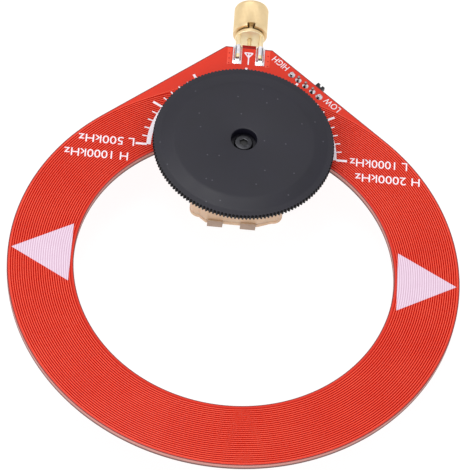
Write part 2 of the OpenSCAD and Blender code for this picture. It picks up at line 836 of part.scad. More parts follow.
module switch_slider() {
    lever_end = switch_inset + lever_out;
    color("black") placed() at_switch() translate([slider_rest, 0, 0]) difference() {
        union() {
            box(
                span(0, slider_l),
                [switch_back + sheet_t + move_clear, switch_inset - sheet_t - move_clear],
                [slider_bottom, slider_top]
            );
            box(span(0, lever_w), [0, lever_end], [lever_bottom, slider_top]);
        }
        box(
            span(0, groove_w), [lever_end - groove_w, lever_end + past],
            [lever_bottom - past, slider_top + past]
        );
    }
}

module switch_contact() {
    color("peru") placed() at_switch() translate([slider_rest, 0, 0])
        box(span(0, pin_pitch + 2 * pin_w), span(0, 2 * pin_w), [slider_top, contact_top]);
}

circuit_board();
loop_winding();
plug_pads();
plug_body();
plug_insulator();
plug_pin();
plug_gasket();
leg_solder();
pin_solder();
coupling_nut();
snap_ring();
tuner_case();
tuner_cover();
tuner_bush();
tuner_shaft();
rotor_plates();
stator_plates();
stator_tab();
rotor_tab();
tuner_screws();
trimmer_left();
trimmer_right();
tuning_knob();
knob_screw();
switch_frame();
switch_base();
switch_pins();
switch_solder();
switch_slider();
switch_contact();
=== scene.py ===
from math import acos, asin, atan2, cos, hypot, pi, radians, sin, sqrt

import bmesh
import bpy
from mathutils import Matrix, Vector


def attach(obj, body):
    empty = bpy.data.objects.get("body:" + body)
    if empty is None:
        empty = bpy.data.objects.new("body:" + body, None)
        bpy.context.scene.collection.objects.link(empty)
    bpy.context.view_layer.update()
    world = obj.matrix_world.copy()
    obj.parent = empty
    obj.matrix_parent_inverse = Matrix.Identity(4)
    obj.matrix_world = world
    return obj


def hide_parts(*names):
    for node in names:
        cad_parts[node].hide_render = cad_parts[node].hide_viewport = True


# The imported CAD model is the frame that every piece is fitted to.
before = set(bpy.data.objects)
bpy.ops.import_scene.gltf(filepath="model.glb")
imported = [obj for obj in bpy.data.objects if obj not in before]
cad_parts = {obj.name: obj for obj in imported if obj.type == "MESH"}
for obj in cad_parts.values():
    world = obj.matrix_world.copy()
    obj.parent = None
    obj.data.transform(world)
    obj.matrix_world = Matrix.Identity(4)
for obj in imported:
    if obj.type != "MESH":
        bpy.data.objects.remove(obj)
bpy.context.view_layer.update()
scene = bpy.context.scene

# Sizes are in millimetres of the part's own frame, with the origin at the end of
# the plug's nose, +Y out of the plug and +Z out of the printed face.
MM = 0.001

# The board: its two faces, the ring and its hole, and the pointed end's reach and half width.
TOP, BACK = 0.8, -0.8
RING_Y, RING_R, HOLE_R = -70.25, 50.0, 35.4
TIP_REACH, TIP_HALF = 61.2, 5.4
TIP_Y = TIP_REACH + RING_Y

# The board's slanting edge at the right of the pointed end: where it faces, how it runs, and
# the switch's middle beside it.
EDGE_TURN = atan2(TIP_REACH, TIP_HALF) - acos(RING_R / hypot(TIP_HALF, TIP_REACH))
EDGE_OUT = Vector((cos(EDGE_TURN), sin(EDGE_TURN), 0))
EDGE_ALONG = Vector((sin(EDGE_TURN), -cos(EDGE_TURN), 0))
SWITCH_AT = Vector((13.476, -18.449, 0))

# The tuning capacitor, and the board's lug that carries it.
TUNER_Y, LUG_R = -38.95, 13.0
TUNER_REACH = TUNER_Y - RING_Y

# Winding and ink: grid, height under the mask, the lead's end from the ring's middle, the
# ink's top, and how far what is laid on the board sinks into it.
TRACK_PITCH, TRACK_H = 0.5, 0.1
LEAD_X, LEAD_Y = -4.3, TIP_REACH - 7.6
INK_TOP = TOP + 0.112
SUNK = 0.02

# The plug: its flange, the sides, foot and end of a leg, and the coupling nut.
FLANGE_R, NUT_R = 3.38, 3.975
LEG_IN, LEG_OUT, LEG_FOOT, LEG_END = 2.175, 3.125, 0.9, -12.6
LEG_MIRRORS = [Matrix.Diagonal((x, 1, z, 1)) for x in (1, -1) for z in (1, -1)]

# Places that turned or upright shapes are moved to.
ALONG_PLUG = Matrix.Rotation(-pi / 2, 4, "X")
AT_RING = Matrix.Translation((0, RING_Y, 0))
AT_TUNER = Matrix.Translation((0, TUNER_Y, 0))
AT_SWITCH = Matrix.Translation(SWITCH_AT) @ Matrix.Rotation(EDGE_TURN - pi / 2, 4, "Z")

# The dial was printed a little off the shaft's axis, and turned by half a degree.
AT_DIAL = Matrix.Translation((-0.16, TUNER_Y, 0)) @ Matrix.Rotation(radians(0.5), 4, "Z")


# Materials

def linear(code):
    """Linear RGBA of an sRGB hex colour."""
    parts = [int(code[i:i + 2], 16) / 255 for i in (1, 3, 5)]
    return [c / 12.92 if c <= 0.04045 else ((c + 0.055) / 1.055) ** 2.4 for c in parts] + [1.0]


def add(material, kind, inputs=None, **settings):
    """Adds a node with its settings; each input is a value or another node's output."""
    tree = material.node_tree
    node = tree.nodes.new(kind)
    for name, value in settings.items():
        setattr(node, name, value)
    for name, value in (inputs or {}).items():
        if isinstance(value, bpy.types.NodeSocket):
            tree.links.new(value, node.inputs[name])
        else:
            node.inputs[name].default_value = value
    return node


def surface(name, tones, roughness, cloud_mm, grain_mm, relief_mm, **values):
    """A finish whose colour and gloss drift over cloud_mm, with a fine relief of grain_mm.

    Its constant values go straight on the shader's sockets. The shader, its coordinates and
    its colour come back with it, for a finish that adds to them.
    """
    material = bpy.data.materials.new(name)
    material.use_nodes = True
    shader = material.node_tree.nodes["Principled BSDF"]
    for socket, value in values.items():
        shader.inputs[socket.replace("_", " ")].default_value = value
    spot = add(material, "ShaderNodeTexCoord").outputs["Object"]
    cloud = add(material, "ShaderNodeTexNoise", {
        "Vector": spot, "Scale": 1 / (cloud_mm * MM), "Detail": 3.0, "Roughness": 0.55,
    })
    colour = add(material, "ShaderNodeValToRGB", {"Fac": cloud.outputs["Fac"]})
    for stop, tone, at in zip(colour.color_ramp.elements, tones, (0.32, 0.68)):
        stop.color = linear(tone)
        stop.position = at
    gloss = add(material, "ShaderNodeMapRange", {
        "Value": cloud.outputs["Fac"], "From Min": 0.3, "From Max": 0.7,
        "To Min": roughness[0], "To Max": roughness[1],
    })
    grain = add(material, "ShaderNodeTexNoise", {
        "Vector": spot, "Scale": 1 / (grain_mm * MM), "Detail": 2.0,
    })
    bump = add(material, "ShaderNodeBump", {
        "Height": grain.outputs["Fac"], "Strength": 0.6, "Distance": relief_mm * MM,
    })
    links = material.node_tree.links
    links.new(colour.outputs["Color"], shader.inputs["Base Color"])
    links.new(gloss.outputs["Result"], shader.inputs["Roughness"])
    links.new(bump.outputs["Normal"], shader.inputs["Normal"])
    return material, shader, spot, colour.outputs["Color"]


def ring_distance(material, spot):
    """Distance of a point from the ring's middle, in metres."""
    flat = add(material, "ShaderNodeVectorMath", {0: spot, 1: (1, 1, 0)}, operation="MULTIPLY")
    return add(material, "ShaderNodeVectorMath", {
        0: flat.outputs["Vector"], 1: (0, RING_Y * MM, 0),
    }, operation="DISTANCE").outputs["Value"]


# Red epoxy solder mask, curtain coated and cured: a smooth semi-gloss skin. Between the
# winding's tracks it is painted a much deeper red: partly the mask over bare laminate, which
# looks deeper than over copper, and partly painted shade in the grooves between the tracks.
# The tracks beside it keep the shine off.
mask_red, shader, spot, colour = surface(
    "red_solder_mask", ("#D83019", "#DF341B"), (0.34, 0.42), 9.0, 0.4, 0.004, IOR=1.52,
    Specular_IOR_Level=0.25,
)
away = ring_distance(mask_red, spot)
height = add(mask_red, "ShaderNodeSeparateXYZ", {"Vector": spot}).outputs["Z"]
# The winding's field, from where it starts to where it is full: at its inner edge, at its
# outer edge, and above the board's middle plane.
field = ((away, 35.9, 36.25), (away, 49.55, 49.3), (height, 0.0, 0.4))
between = 1.0
for place, start, full in field:
    between = add(mask_red, "ShaderNodeMapRange", {
        "Value": place, "From Min": start * MM, "From Max": full * MM, "To Max": between,
    }).outputs["Result"]
# Painted shade: between the tracks the mask is mixed towards a dark red.
deeper = add(mask_red, "ShaderNodeMix", {
    "Factor": between, "A": colour, "B": linear("#AC0701"),
}, data_type="RGBA")
shine = add(mask_red, "ShaderNodeMapRange", {
    "Value": between, "To Min": 0.25, "To Max": 0.04,
})
mask_red.node_tree.links.new(deeper.outputs["Result"], shader.inputs["Base Color"])
mask_red.node_tree.links.new(shine.outputs["Result"], shader.inputs["Specular IOR Level"])

# Where the mask tents a small hole: a deeper red dot.
mask_hole, *_ = surface(
    "solder_mask_over_hole", ("#C0241A", "#CA2A1E"), (0.4, 0.5), 2.0, 0.2, 0.003, IOR=1.52,
    Specular_IOR_Level=0.25,
)

# The same mask where copper lies under it: brighter, partly as mask over copper looks and
# partly as a painted highlight on the tracks' ridges, and glossier on the rounded track.
mask_track, *_ = surface(
    "solder_mask_over_copper", ("#EC4A33", "#F15239"), (0.28, 0.36), 9.0, 0.4, 0.003, IOR=1.52,
    Specular_IOR_Level=0.25,
)

# Cut edge of glass-epoxy laminate: pale pink, matt, with its cloth layers 0.2 mm apart, and
# darker grey-brown towards the bottom.
laminate, shader, spot, colour = surface(
    "glass_epoxy_edge", ("#CE8E84", "#DA9E94"), (0.6, 0.75), 3.0, 0.12, 0.02, IOR=1.55,
)
cloth_layer = 0.2 * MM
layers = add(laminate, "ShaderNodeTexWave", {
    "Vector": spot, "Scale": pi / (10 * cloth_layer), "Distortion": 1.5, "Detail": 2.0,
}, bands_direction="Z")
layered = add(laminate, "ShaderNodeMix", {
    "Factor": layers.outputs["Fac"], "A": colour, "B": linear("#C07E74"),
}, data_type="RGBA")
height = add(laminate, "ShaderNodeSeparateXYZ", {"Vector": spot}).outputs["Z"]
# Darker grey-brown towards the bottom of the edge.
darker_low = add(laminate, "ShaderNodeMapRange", {
    "Value": height, "From Min": 0.1 * MM, "From Max": -0.35 * MM,
})
edge_tone = add(laminate, "ShaderNodeMix", {
    "Factor": darker_low.outputs["Result"], "A": layered.outputs["Result"], "B": linear("#6A4742"),
}, data_type="RGBA")
laminate.node_tree.links.new(edge_tone.outputs["Result"], shader.inputs["Base Color"])

# Rim where the mask stops short of the routed edge: bare laminate, dark red.
dark_rim, *_ = surface(
    "laminate_rim", ("#761310", "#821915"), (0.5, 0.6), 2.0, 0.15, 0.008, IOR=1.55,
)

# Painted shade in the gap under the plug's disc, at the board's edge: deep red, half gloss.
lip_shade_red, *_ = surface(
    "painted_shade_at_board_edge", ("#97100A", "#A1150B"), (0.36, 0.48), 1.0, 0.15, 0.01, IOR=1.52,
    Specular_IOR_Level=0.15,
)

# White legend ink, screen printed: matt, thin, with a breath of the red below it.
ink, *_ = surface(
    "legend_ink", ("#F3E8EF", "#FBF2F6"), (0.5, 0.6), 2.0, 0.15, 0.006, IOR=1.5,
)

# The same ink over the tracks, printed flat: its darker pink stripes, 0.5 mm apart, are
# painted shade of the tracks' ridges under it.
ink_lined, shader, spot, colour = surface(
    "legend_ink_over_tracks", ("#EACFE0", "#EFD7E6"), (0.5, 0.6), 2.0, 0.15, 0.006, IOR=1.5,
)
away = ring_distance(ink_lined, spot)
turns = add(ink_lined, "ShaderNodeMath", {
    0: away, 1: 2 * pi / (TRACK_PITCH * MM),
}, operation="MULTIPLY")
stripe = add(ink_lined, "ShaderNodeMath", {0: turns.outputs["Value"]}, operation="SINE")
shade = add(ink_lined, "ShaderNodeMapRange", {
    "Value": stripe.outputs["Value"], "From Min": -0.6, "From Max": 0.9,
})
# Painted shade of the ridges: the ink is mixed towards a darker pink in stripes along the tracks.
ridge_shade = add(ink_lined, "ShaderNodeMix", {
    "Factor": shade.outputs["Result"], "A": colour, "B": linear("#CDACC0"),
}, data_type="RGBA")
ink_lined.node_tree.links.new(ridge_shade.outputs["Result"], shader.inputs["Base Color"])

# Tin-lead solder, hand laid: bright, smooth, faintly rippled.
solder, *_ = surface(
    "hand_laid_solder", ("#E2E1E4", "#F2F1F3"), (0.26, 0.42), 0.8, 0.35, 0.03, Metallic=1.0,
)

# Solder of the switch's joints, flowed in one go: it mirrors the black knob beside it.
solder_mirror, *_ = surface(
    "flowed_solder", ("#D5D4D6", "#E8E7E9"), (0.08, 0.18), 0.8, 0.35, 0.03, Metallic=1.0,
)

# Tin on the switch's pins: dull grey ends above the bright joints.
pin_tin, *_ = surface(
    "dull_tin", ("#8C8987", "#9D9A97"), (0.38, 0.5), 0.8, 0.1, 0.004, Metallic=1.0,
)

# Gold flash over nickelled brass, turned: pale and bright, with a fine grain from the tool.
gold, *_ = surface(
    "gold_plated_brass", ("#EDD3A2", "#F2DAAC"), (0.44, 0.54), 1.6, 0.12, 0.004, Metallic=1.0,
)

# The same plate on the plug's rear, painted paler: its cream tone is a painted reflection of
# the white floor, which it also mirrors, so that the pin hardly stands out against the disc.
gold_painted_pale, *_ = surface(
    "gold_plate_painted_pale", ("#FFF1C6", "#FFF6D0"), (0.46, 0.56), 1.6, 0.12, 0.004, Metallic=0.8,
)

# That plate on the legs and pin, painted a shade deeper: painted shade against the light on
# their tops, so that they sink into the disc.
gold_painted_deeper, *_ = surface(
    "gold_plate_painted_deeper", ("#ECD7AA", "#F2DFB6"), (0.5, 0.6), 1.6, 0.12, 0.004, Metallic=0.8,
)

# Extruded fluoropolymer: white, with a soft waxy gloss.
ptfe, *_ = surface(
    "ptfe_insulator", ("#ECEAE4", "#F5F3EE"), (0.4, 0.5), 1.5, 0.2, 0.004, IOR=1.36,
)

# Moulded silicone rubber: orange-red, dull.
rubber, *_ = surface(
    "silicone_gasket", ("#B4482F", "#C45438"), (0.6, 0.7), 1.0, 0.1, 0.006, IOR=1.42,
)

# Moulded polystyrene of the capacitor: tan, milky, satin.
tan_case, *_ = surface(
    "moulded_tan_polystyrene", ("#C19F7F", "#CFAF91"), (0.36, 0.48), 5.0, 0.3, 0.006, IOR=1.59,
    Subsurface_Weight=0.25, Subsurface_Radius=(0.004, 0.0025, 0.0015), Subsurface_Scale=1.0,
)

# Tinned brass strip of the capacitor's tabs: dull, greyish tan.
tab_brass, *_ = surface(
    "tinned_brass_strip", ("#9C8472", "#AA9281"), (0.36, 0.5), 1.2, 0.1, 0.004, Metallic=0.3,
)

# Turned brass of the shaft, bush and trimmers: yellow, bright, with a fine grain.
brass, *_ = surface(
    "turned_brass", ("#C9A04E", "#D8B366"), (0.24, 0.34), 1.2, 0.1, 0.005, Metallic=1.0,
)

# Spring bronze of the plug's split ring: dark brown.
spring_bronze, *_ = surface(
    "spring_bronze", ("#4A3A26", "#58462E"), (0.34, 0.44), 0.8, 0.1, 0.004, Metallic=1.0,
)

# Stamped aluminium of the plates inside the capacitor: grey, half bright.
plates, *_ = surface(
    "stamped_aluminium", ("#B4B6B8", "#C6C8CA"), (0.3, 0.42), 1.5, 0.15, 0.004, Metallic=1.0,
)

# Nickel-plated sheet steel of the switch's frame: bright, with a fine grain from the rolls.
nickel, *_ = surface(
    "nickelled_sheet_steel", ("#B9B6B0", "#CDCAC4"), (0.22, 0.36), 1.4, 0.1, 0.004, Metallic=1.0,
)

# Black ABS, moulded in a spark-eroded die: even satin with a fine grit. The grit is
# drawn 0.35 mm wide, coarser than the die's, so that it shows.
knob_abs, shader, spot, colour = surface(
    "moulded_black_abs", ("#0C0A18", "#110F1E"), (0.42, 0.5), 7.0, 0.35, 0.012, IOR=1.53,
    Specular_IOR_Level=0.42,
)
# Grains of dust on it, 0.3 mm wide, about one in each 7 mm.
dust_apart = 7 * MM
grains = add(knob_abs, "ShaderNodeTexVoronoi", {
    "Vector": spot, "Scale": 1 / dust_apart,
}, voronoi_dimensions="2D")
dust = add(knob_abs, "ShaderNodeMapRange", {
    "Value": grains.outputs["Distance"], "From Min": 0.03, "From Max": 0.014,
})
dusty = add(knob_abs, "ShaderNodeMix", {
    "Factor": dust.outputs["Result"], "A": colour, "B": linear("#46454E"),
}, data_type="RGBA")
knob_abs.node_tree.links.new(dusty.outputs["Result"], shader.inputs["Base Color"])

# The same plastic on the knob's toothed side: rougher from the die, and painted blacker as
# shade on the teeth.
teeth_abs_shaded, *_ = surface(
    "moulded_black_teeth_shaded", ("#050406", "#08070A"), (0.6, 0.7), 3.0, 0.2, 0.006, IOR=1.53,
    Specular_IOR_Level=0.1,
)

# Black acetal of the slider: a little waxier.
acetal, *_ = surface(
    "black_acetal", ("#131316", "#1B1B1E"), (0.36, 0.46), 2.0, 0.2, 0.005, IOR=1.48,
)

# Black-oxide steel of the screws: dark, with an oily sheen.
black_steel, *_ = surface(
    "black_oxide_steel", ("#38383B", "#48484B"), (0.3, 0.42), 0.8, 0.12, 0.006, Metallic=1.0,
)

# The same steel in the screw's socket and on its brim: black, as painted shade in the socket,
# and bright grey.
socket_shade, *_ = surface(
    "black_oxide_socket_shade", ("#060607", "#0C0C0D"), (0.55, 0.65), 0.6, 0.1, 0.004, IOR=1.6,
)
bright_brim_steel, *_ = surface(
    "black_steel_bright_brim", ("#77777A", "#8C8C90"), (0.3, 0.4), 0.5, 0.1, 0.004, Metallic=1.0,
)

# Phenolic paper laminate of the switch's base: brown, matt.
phenolic, *_ = surface(
    "phenolic_laminate", ("#7A5233", "#8F6440"), (0.55, 0.68), 1.5, 0.15, 0.008, IOR=1.6,
)


# Tools that shape a piece

def paint(bm, finish):
    """Gives all faces one of the piece's finishes."""
    for face in bm.faces:
        face.material_index = finish


def round_edges(bm, edges, width, segments=2, clamp=False):
    """Rounds edges to a width."""
    bmesh.ops.bevel(
        bm, geom=edges, offset=width, offset_type="OFFSET", affect="EDGES",
        segments=segments, profile=0.5, material=-1, clamp_overlap=clamp,
    )


def lathe(profile, steps, closed=True, finish=0):
    """Spins a profile of (radius, height) points a full turn about z."""
    bm = bmesh.new()
    points = [bm.verts.new((r, 0, z)) for r, z in profile]
    ends = points[1:] + points[:1] if closed else points[1:]
    edges = [bm.edges.new(pair) for pair in zip(points, ends)]
    bmesh.ops.spin(
        bm, geom=points + edges, cent=(0, 0, 0), axis=(0, 0, 1), dvec=(0, 0, 0),
        angle=2 * pi, steps=steps, use_merge=True, use_duplicate=False,
    )
    bmesh.ops.remove_doubles(bm, verts=bm.verts, dist=1e-4)
    bmesh.ops.recalc_face_normals(bm, faces=bm.faces)
    paint(bm, finish)
    return bm


def block(low, high, soften, finish=0):
    """A box between two corners with its edges rounded."""
    bm = bmesh.new()
    bmesh.ops.create_cube(bm, size=1.0)
    low, high = Vector(low), Vector(high)
    bmesh.ops.scale(bm, vec=high - low, verts=bm.verts)
    bmesh.ops.translate(bm, vec=(high + low) / 2, verts=bm.verts)
    if soften:
        round_edges(bm, bm.edges[:], soften)
    paint(bm, finish)
    return bm


def plate(outline, depth, soften=0.0, finish=0):
    """A flat outline at z = 0, given depth downwards, with its rim softened."""
    bm = bmesh.new()
    face = bm.faces.new([bm.verts.new((x, y, 0)) for x, y in outline])
    grown = bmesh.ops.extrude_face_region(bm, geom=[face])["geom"]
    bmesh.ops.translate(
        bm, vec=(0, 0, -depth), verts=[v for v in grown if isinstance(v, bmesh.types.BMVert)],
    )
    bmesh.ops.recalc_face_normals(bm, faces=bm.faces)
    if soften:
        round_edges(bm, bm.edges[:], soften)
    paint(bm, finish)
    return bm


def join(target, part, *places):
    """Adds copies of a part to a piece, one at each place, and frees the part."""
    mesh = bpy.data.meshes.new("part")
    part.to_mesh(mesh)
    part.free()
    for place in places or (Matrix.Identity(4),):
        fresh = bmesh.new()
        fresh.from_mesh(mesh)
        fresh.transform(place)
        if place.determinant() < 0:
            bmesh.ops.reverse_faces(fresh, faces=fresh.faces)
        moved = bpy.data.meshes.new("moved")
        fresh.to_mesh(moved)
        fresh.free()
        target.from_mesh(moved)
        bpy.data.meshes.remove(moved)
    bpy.data.meshes.remove(mesh)


def piece(bm, name, body, finishes, replaced=(), place=None, sharp=32):
    """Makes a bmesh in millimetres a finished piece that moves with a CAD body.

    Edges that turn by sharp degrees or more stay crisp.
    """
    if place is not None:
        bm.transform(place)
    bmesh.ops.scale(bm, vec=(MM, MM, MM), verts=bm.verts)
    for face in bm.faces:
        face.smooth = True
    for edge in bm.edges:
        edge.smooth = len(edge.link_faces) == 2 and edge.calc_face_angle(pi) < radians(sharp)
    mesh = bpy.data.meshes.new(name)
    bm.to_mesh(mesh)
    bm.free()
    for finish in finishes:
        mesh.materials.append(finish)
    made = bpy.data.objects.new(name, mesh)
    scene.collection.objects.link(made)
    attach(made, body)
    if replaced:
        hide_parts(*replaced)


def as_mesh(data):
    """The mesh of a curve or a text, whose object is then removed."""
    drawn = bpy.data.objects.new("drawn", data)
    scene.collection.objects.link(drawn)
    mesh = bpy.data.meshes.new_from_object(
        drawn.evaluated_get(bpy.context.evaluated_depsgraph_get())
    )
    bpy.data.objects.remove(drawn)
    return mesh


def softened(node, name, body, finishes, width):
    """A CAD node's own shape with its sharp edges rounded, which replaces the node.

    A second finish goes on the faces that look up; on the capacitor's tabs it is the case's
    tan, a painted reflection of the case.
    """
    bm = bmesh.new()
    bm.from_mesh(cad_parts[node].data)
    bmesh.ops.scale(bm, vec=(1 / MM,) * 3, verts=bm.verts)
    bmesh.ops.remove_doubles(bm, verts=bm.verts, dist=1e-3)
    bmesh.ops.dissolve_limit(
        bm, angle_limit=radians(1), use_dissolve_boundaries=False,
        verts=bm.verts, edges=bm.edges,
    )
    keen = [e for e in bm.edges if len(e.link_faces) == 2 and e.calc_face_angle(0) > radians(40)]
    round_edges(bm, keen, width, clamp=True)
    bmesh.ops.remove_doubles(bm, verts=bm.verts, dist=1e-4)
    for face in bm.faces:
        face.material_index = int(len(finishes) > 1 and face.normal.z > 0.7)
    piece(bm, name, body, finishes, [node])


# The printed board

def arc(bm, start, centre, angle, steps):
    """A row of edges from a point round a centre."""
    bmesh.ops.spin(
        bm, geom=[bm.verts.new(start)], cent=centre, axis=(0, 0, 1), dvec=(0, 0, 0),
        angle=angle, steps=steps,
    )


def board_loops(bm, z, inset):
    """The board's outer edge and its holes at one height, each drawn in by inset."""
    loops = []

    def closed(build):
        old_edges, old_verts = set(bm.edges), set(bm.verts)
        build()
        fresh = [v for v in bm.verts if v not in old_verts]
        bmesh.ops.remove_doubles(bm, verts=fresh, dist=1e-3)
        loops.append([e for e in bm.edges if e not in old_edges])

    def outer():
        r = RING_R - inset
        reach = TIP_REACH - inset
        half = (r - sin(EDGE_TURN) * reach) / cos(EDGE_TURN)
        right = (r * cos(EDGE_TURN), r * sin(EDGE_TURN), z)
        arc(bm, right, (0, 0, z), -pi - 2 * EDGE_TURN, 240)
        rim = [right, (half, reach, z), (-half, reach, z), (-right[0], right[1], z)]
        verts = [bm.verts.new(p) for p in rim]
        for pair in zip(verts, verts[1:]):
            bm.edges.new(pair)

    def opening():
        hole, lug = HOLE_R + inset, LUG_R - inset
        y = (TUNER_REACH ** 2 + hole ** 2 - lug ** 2) / (2 * TUNER_REACH)
        x = sqrt(hole ** 2 - y ** 2)
        arc(bm, (x, y, z), (0, 0, z), -pi - 2 * atan2(y, x), 200)
        arc(bm, (-x, y, z), (0, TUNER_REACH, z), pi + 2 * asin((y - TUNER_REACH) / lug), 64)

    def round_hole(x, r):
        def build():
            made = bmesh.ops.create_circle(bm, cap_ends=False, radius=r + inset, segments=48)
            bmesh.ops.translate(bm, vec=(x, TUNER_REACH, z), verts=made["verts"])
        return build

    screw_x, screw_r, collar_r = 7, 1.35, 4.0
    screws = round_hole(-screw_x, screw_r), round_hole(screw_x, screw_r)
    for build in (outer, opening, round_hole(0, collar_r), *screws):
        closed(build)
    return loops


def printed_board():
    """Red board with bare, slightly lowered rims round its routed edges."""
    bm = bmesh.new()
    rim, drop = 0.22, 0.05
    levels = [
        board_loops(bm, z, inset)
        for z, inset in ((TOP, rim), (TOP - drop, 0), (BACK + drop, 0), (BACK, rim))
    ]
    for above, below, finish in zip(levels, levels[1:], (2, 1, 2)):
        for a, b in zip(above, below):
            for face in bmesh.ops.bridge_loops(bm, edges=a + b)["faces"]:
                face.material_index = finish
    for loops in (levels[0], levels[-1]):
        bmesh.ops.triangle_fill(
            bm, use_beauty=True, use_dissolve=False, edges=sum(loops, []), normal=(0, 0, 1),
        )
    bmesh.ops.recalc_face_normals(bm, faces=bm.faces)
    piece(
        bm, "printed_board", "board", [mask_red, laminate, dark_rim],
        ["circuit_board"], AT_RING,
    )


def winding():
    """Winding of 27 rounded turns under the mask, with a lead towards the plug.

    Below the knob each turn steps in to the next; the step takes a twelfth of a turn.
    """
    turns, outer_r, steps, step_arc = 27, 49.45, 120, 1 / 12
    lead = Vector((LEAD_X, LEAD_Y))
    first = (atan2(lead.y, lead.x) + acos(outer_r / lead.length) - pi / 2) / (2 * pi)
    path = [lead]
    for i in range(int((turns - step_arc / 2 - first) * steps) + 1):
        turn = first + i / steps
        share = min(max((turn - round(turn)) / step_arc, -0.5), 0.5)
        r = outer_r - TRACK_PITCH * (round(turn) + share - 0.5)
        a = pi / 2 + 2 * pi * turn
        path.append(Vector((r * cos(a), r * sin(a))))
    section = bpy.data.curves.new("track_section", "CURVE")
    section.dimensions = "2D"
    rim = section.splines.new("POLY")
    half = 0.13
    dome = [
        (-half, -SUNK), (half, -SUNK), (half, 0.03), (0.8 * half, 0.068), (0.42 * half, 0.093),
        (0, TRACK_H), (-0.42 * half, 0.093), (-0.8 * half, 0.068), (-half, 0.03),
    ]
    rim.points.add(len(dome) - 1)
    for point, (x, y) in zip(rim.points, dome):
        point.co = (x, y, 0, 1)
    rim.use_cyclic_u = True
    shape = bpy.data.objects.new("track_section", section)
    scene.collection.objects.link(shape)
    track = bpy.data.curves.new("track_path", "CURVE")
    track.dimensions = "3D"
    track.twist_mode = "Z_UP"
    track.bevel_mode = "OBJECT"
    track.bevel_object = shape
    track.use_fill_caps = True
    line = track.splines.new("POLY")
    line.points.add(len(path) - 1)
    for point, at in zip(line.points, path):
        point.co = (at.x, at.y + RING_Y, TOP, 1)
    mesh = as_mesh(track)
    bm = bmesh.new()
    bm.from_mesh(mesh)
    bmesh.ops.recalc_face_normals(bm, faces=bm.faces)
    bpy.data.meshes.remove(mesh)
    bpy.data.objects.remove(shape)
    piece(
        bm, "printed_winding", "board", [mask_track], ["loop_winding"], sharp=60,
    )


def bar(bm, start, end, width, layer=0):
    """A printed stroke from one point to another; a later layer lies a hair higher."""
    start, end = Vector(start), Vector(end)
    run = end - start
    hair = 0.004
    stroke = block(
        (0, -width / 2, TOP - SUNK), (run.length, width / 2, INK_TOP + hair * layer), 0.0,
    )
    turned = Matrix.Rotation(atan2(run.y, run.x), 4, "Z")
    join(bm, stroke, Matrix.Translation((start.x, start.y, 0)) @ turned)


def words(bm, text, start, turn, length, height):
    """Printed characters, fitted to a length and a height, from a start point."""
    data = bpy.data.curves.new("words", "FONT")
    data.body = text
    data.extrude = 0.05
    data.resolution_u = 4
    mesh = as_mesh(data)
    part = bmesh.new()
    part.from_mesh(mesh)
    bpy.data.meshes.remove(mesh)
    low = [min(v.co[i] for v in part.verts) for i in range(3)]
    high = [max(v.co[i] for v in part.verts) for i in range(3)]
    wanted = length, height, INK_TOP - TOP
    size = [whole / (far - near) for whole, far, near in zip(wanted, high, low)]
    bmesh.ops.translate(part, vec=[-v for v in low], verts=part.verts)
    bmesh.ops.scale(part, vec=size, verts=part.verts)
    bmesh.ops.remove_doubles(part, verts=part.verts, dist=1e-4)
    join(bm, part, Matrix.Translation((start[0], start[1], TOP)) @ Matrix.Rotation(turn, 4, "Z"))


def dial_print():
    """Half-round dial scale, its numbers and the switch's two words."""
    bm = bmesh.new()
    inner, outer, thin_end, bold_end = 20.6, 21.6, 22.8, 24.0
    ticks, degrees_apart, thin, bold, overlap = 31, 6, 0.28, 0.55, 0.1
    band = [(inner, TOP), (outer, TOP), (outer, INK_TOP), (inner, INK_TOP)]
    rim = bm.faces.new([bm.verts.new((r, 0, z)) for r, z in band])
    bmesh.ops.spin(
        bm, geom=[rim], cent=(0, 0, 0), axis=(0, 0, 1), dvec=(0, 0, 0), angle=pi, steps=90,
    )
    bmesh.ops.recalc_face_normals(bm, faces=bm.faces)
    for i in range(ticks):
        a = radians(degrees_apart * i)
        out = Vector((cos(a), sin(a)))
        end, width = (thin_end, thin) if i % 5 else (bold_end, bold)
        bar(bm, (outer - overlap) * out, end * out, width, 1)
    bm.transform(AT_DIAL)
    label_height = 2.15
    for text, x, y, length in (
        ("L 500kHz", -24.5, -37.85, 12.6), ("H 1000kHz", -25.6, -42.0, 14.4),
        ("L 1000kHz", 37.55, -37.75, 13.1), ("H 2000kHz", 40.5, -41.8, 14.7),
    ):
        words(bm, text, (x, y), pi, length, label_height)
    corner = Vector((TIP_HALF, TIP_Y, 0))
    from_edge, word_length, word_height = 0.66, 4.4, 1.6
    for text, distance in (("HIGH", 6.2), ("LOW", 22.45)):
        at = corner + distance * EDGE_ALONG - from_edge * EDGE_OUT
        words(bm, text, at, EDGE_TURN + pi / 2, word_length, word_height)
    piece(bm, "dial_print", "board", [ink], sharp=40)


def pointer_print():
    """Two solid triangles on the ring, and an aerial sign between the plug's pads."""
    bm = bmesh.new()
    outline = [(-49.25, 0.1), (-36.1, -7.45), (-36.1, 7.65)]
    for side in (1, -1):
        join(
            bm, plate(outline, INK_TOP - TOP, finish=1),
            Matrix.Diagonal((side, 1, 1, 1)) @ Matrix.Translation((0, RING_Y, INK_TOP)),
        )
    foot, fork, head, stroke = -14.0, -11.9, -10.6, 0.3
    bar(bm, (0, foot), (0, head), stroke)
    for side in (-1, 1):
        bar(bm, (0, fork), (0.95 * side, head), stroke, 2 + side)
    bar(bm, (-0.97, head), (0.97, head), stroke, 4)
    piece(bm, "pointer_print", "board", [ink, ink_lined])


